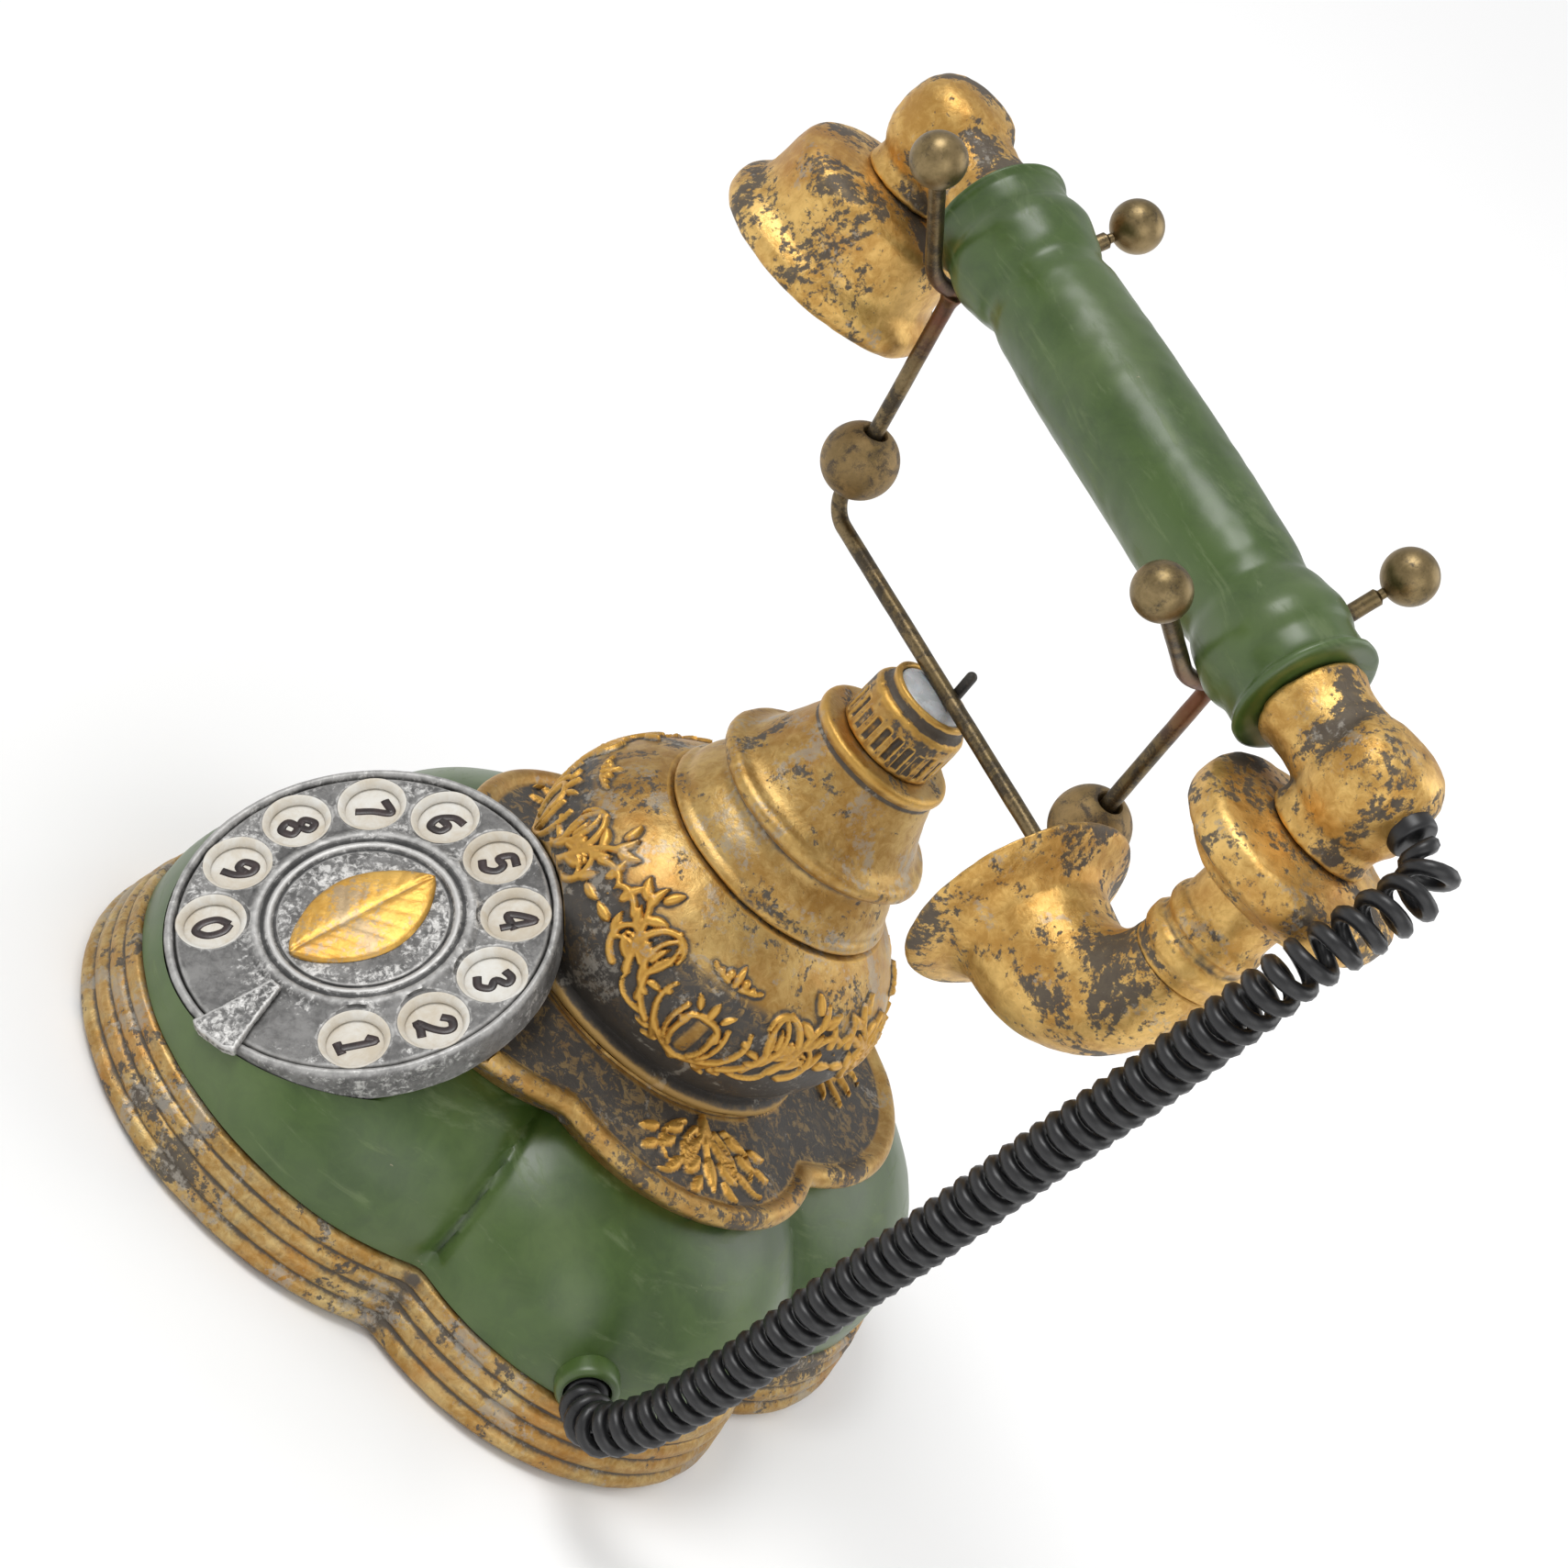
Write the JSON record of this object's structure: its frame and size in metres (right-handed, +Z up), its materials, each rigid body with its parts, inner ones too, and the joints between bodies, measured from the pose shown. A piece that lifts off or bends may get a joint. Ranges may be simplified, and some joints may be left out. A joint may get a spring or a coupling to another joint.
{
  "type": "ornamental desk telephone",
  "caption": "Antique-style desk telephone: lobed green body with gold turret, wire cradle, rotary dial and handset with hanging horn.",
  "frame": {"origin": "middle of the base, on the surface the pads stand on", "axes": "+Z up; -Y is the dial's side; +X is the side where the cord leaves the base"},
  "size_m": [0.2092, 0.1926, 0.2321],
  "materials": {
    "felt": "dull black felt",
    "steel": "plain zinc-plated steel",
    "black_cover": "fine matt moulding",
    "gold_resin": "antique gold paint with dark wash and silvery rubs",
    "green_resin": "leaf green satin paint",
    "dark_gold_resin": "charcoal bronze wash with gold relief",
    "old_brass": "dark antique brass",
    "bead_gold": "mottled brownish gold",
    "glue": "milky hardened glue",
    "dial_grey": "dark grey with silver dry brushing",
    "silver_rub": "silver dry brushing over grey",
    "digit_white": "off-white paint",
    "bush_brass": "plain turned brass",
    "black_cord": "satin black vinyl"
  },
  "bodies": {
    "base": {"felt_pads": "felt", "cover_screws": "steel", "bottom_cover": "black_cover", "base_plinth": "gold_resin", "body_shell": "green_resin", "collar": "gold_resin", "turret_bulb": "dark_gold_resin", "turret_cone": "gold_resin", "turret_cap": "gold_resin", "turret_rod": "steel", "rod_nut": "steel", "rod_washer": "steel", "glue_plug": "glue", "tie_pin": "old_brass", "cradle_wire": "old_brass", "yoke_left": "old_brass", "yoke_right": "old_brass", "ball_left_front": "old_brass", "ball_left_back": "old_brass", "ball_right_front": "old_brass", "ball_right_back": "old_brass", "cord_boss": "green_resin", "base_cord_gland": "black_cord", "dial_case": "dial_grey", "hub_cover": "steel", "spindle_bush": "bush_brass", "return_spring": "steel", "number_plate": "digit_white", "finger_stop": "silver_rub", "coil_cord": "black_cord"},
    "dial_wheel": {"finger_wheel": "dial_grey", "center_disc": "silver_rub", "dial_emblem": "gold_resin", "dial_spindle": "steel"},
    "bead_left": {"bead_left": "bead_gold"},
    "bead_right": {"bead_right": "bead_gold"},
    "handset": {"grip": "green_resin", "tie_rod": "steel", "ear_elbow": "gold_resin", "ear_cup": "gold_resin", "ear_cap": "dial_grey", "mouth_elbow": "gold_resin", "mouth_disc": "gold_resin", "mouth_tube": "gold_resin", "mouth_horn": "gold_resin", "mouth_grille": "dial_grey", "handset_cord_gland": "black_cord"}
  },
  "joints": [
    {"name": "handset_lift", "type": "slide", "parent": "base", "child": "handset", "axis": [0, 0, 1], "range_m": [0, 0.045], "deforming": ["coil_cord"]},
    {"name": "dial_turn", "type": "hinge", "parent": "base", "child": "dial_wheel", "pos_m": [0, -0.065, 0.048], "axis": [0, -0.6691, 0.7431], "range_deg": [-300, 0], "stiffness_Nm_per_rad": 0.012, "springref_deg": 28.65},
    {"name": "bead_left_slide", "type": "slide", "parent": "base", "child": "bead_left", "axis": [0.011, -0.2894, 0.9571], "range_m": [0, 0.012]},
    {"name": "bead_right_slide", "type": "slide", "parent": "base", "child": "bead_right", "axis": [0.1261, -0.2607, 0.9571], "range_m": [0, 0.03]}
  ]
}
